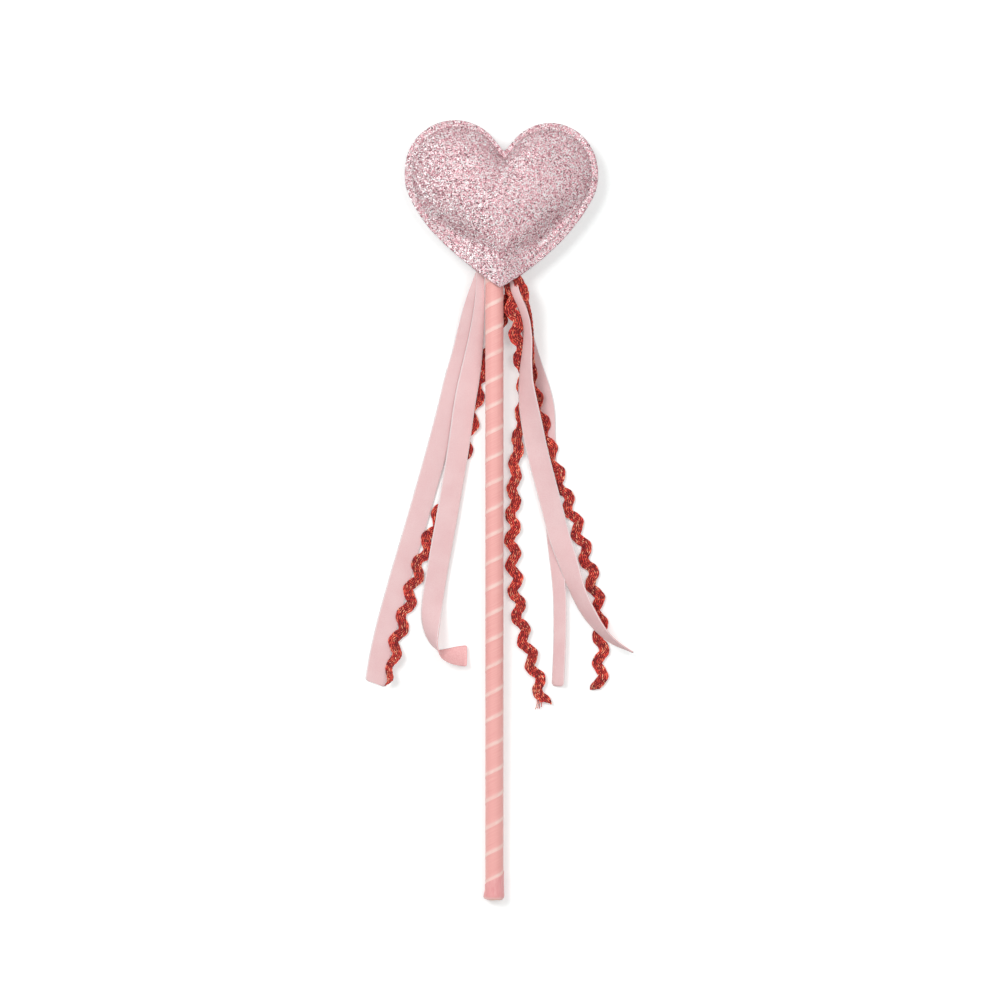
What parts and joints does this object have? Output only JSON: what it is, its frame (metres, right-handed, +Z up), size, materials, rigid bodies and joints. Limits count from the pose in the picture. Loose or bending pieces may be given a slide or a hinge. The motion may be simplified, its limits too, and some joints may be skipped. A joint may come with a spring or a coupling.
{
  "type": "toy magic wand",
  "caption": "Soft toy wand: a stuffed glitter-fabric heart on a ribbon-wound stick, with velvet ribbon and zigzag braid streamers that swing from the heart's tip.",
  "frame": {"origin": "on the table, below the middle of the wand's outer size, as it lies on its back", "axes": "+Y runs up the stick to the heart, +X to the wand's right, +Z up from the table"},
  "size_m": [0.1258, 0.3628, 0.0222],
  "materials": {
    "beech_dowel": "bare wood",
    "satin_ribbon": "coral satin weave",
    "hot_glue": "cloudy set glue",
    "glitter_fabric": "dense pale pink glitter on a woven back",
    "polyester_stuffing": "loose white fibre",
    "sewing_thread": "pale pink thread",
    "velvet_ribbon": "pale pink velvet with woven edges",
    "metallic_braid": "red braid with metallic thread"
  },
  "bodies": {
    "wand": {"dowel": "beech_dowel", "stick_wrap": "satin_ribbon", "end_tuck": "satin_ribbon", "neck_glue": "hot_glue", "heart_front": "glitter_fabric", "heart_back": "glitter_fabric", "heart_filling": "polyester_stuffing", "seam_stitching": "sewing_thread"},
    "left_outer_ribbon": {"ribbon_left_outer": "velvet_ribbon"},
    "left_inner_ribbon": {"ribbon_left_inner": "velvet_ribbon"},
    "left_braid": {"ricrac_left": "metallic_braid"},
    "right_front_ribbon": {"ribbon_right_front": "velvet_ribbon"},
    "right_back_ribbon": {"ribbon_right_back": "velvet_ribbon"},
    "right_inner_braid": {"ricrac_right_inner": "metallic_braid"},
    "right_outer_braid": {"ricrac_right_outer": "metallic_braid"}
  },
  "joints": [
    {"name": "left_outer_ribbon_swing", "type": "hinge", "parent": "wand", "child": "left_outer_ribbon", "pos_m": [-0.00804, 0.11177, 0.0101], "axis": [0, 0, 1], "range_deg": [-35, 0]},
    {"name": "left_inner_ribbon_swing", "type": "hinge", "parent": "wand", "child": "left_inner_ribbon", "pos_m": [-0.00804, 0.11177, 0.0101], "axis": [0, 0, 1], "range_deg": [-35, 2]},
    {"name": "left_braid_swing", "type": "hinge", "parent": "wand", "child": "left_braid", "pos_m": [0.00798, 0.11177, 0.0101], "axis": [0, 0, 1], "range_deg": [-8, 8]},
    {"name": "right_front_ribbon_swing", "type": "hinge", "parent": "wand", "child": "right_front_ribbon", "pos_m": [0.00798, 0.11177, 0.0101], "axis": [0, 0, 1], "range_deg": [-2, 35]},
    {"name": "right_back_ribbon_swing", "type": "hinge", "parent": "wand", "child": "right_back_ribbon", "pos_m": [0.00798, 0.11177, 0.0101], "axis": [0, 0, 1], "range_deg": [-4, 35]},
    {"name": "right_inner_braid_swing", "type": "hinge", "parent": "wand", "child": "right_inner_braid", "pos_m": [0.00798, 0.11177, 0.0101], "axis": [0, 0, 1], "range_deg": [0, 35]},
    {"name": "right_outer_braid_swing", "type": "hinge", "parent": "wand", "child": "right_outer_braid", "pos_m": [0.00798, 0.11177, 0.0101], "axis": [0, 0, 1], "range_deg": [-4, 35]}
  ]
}
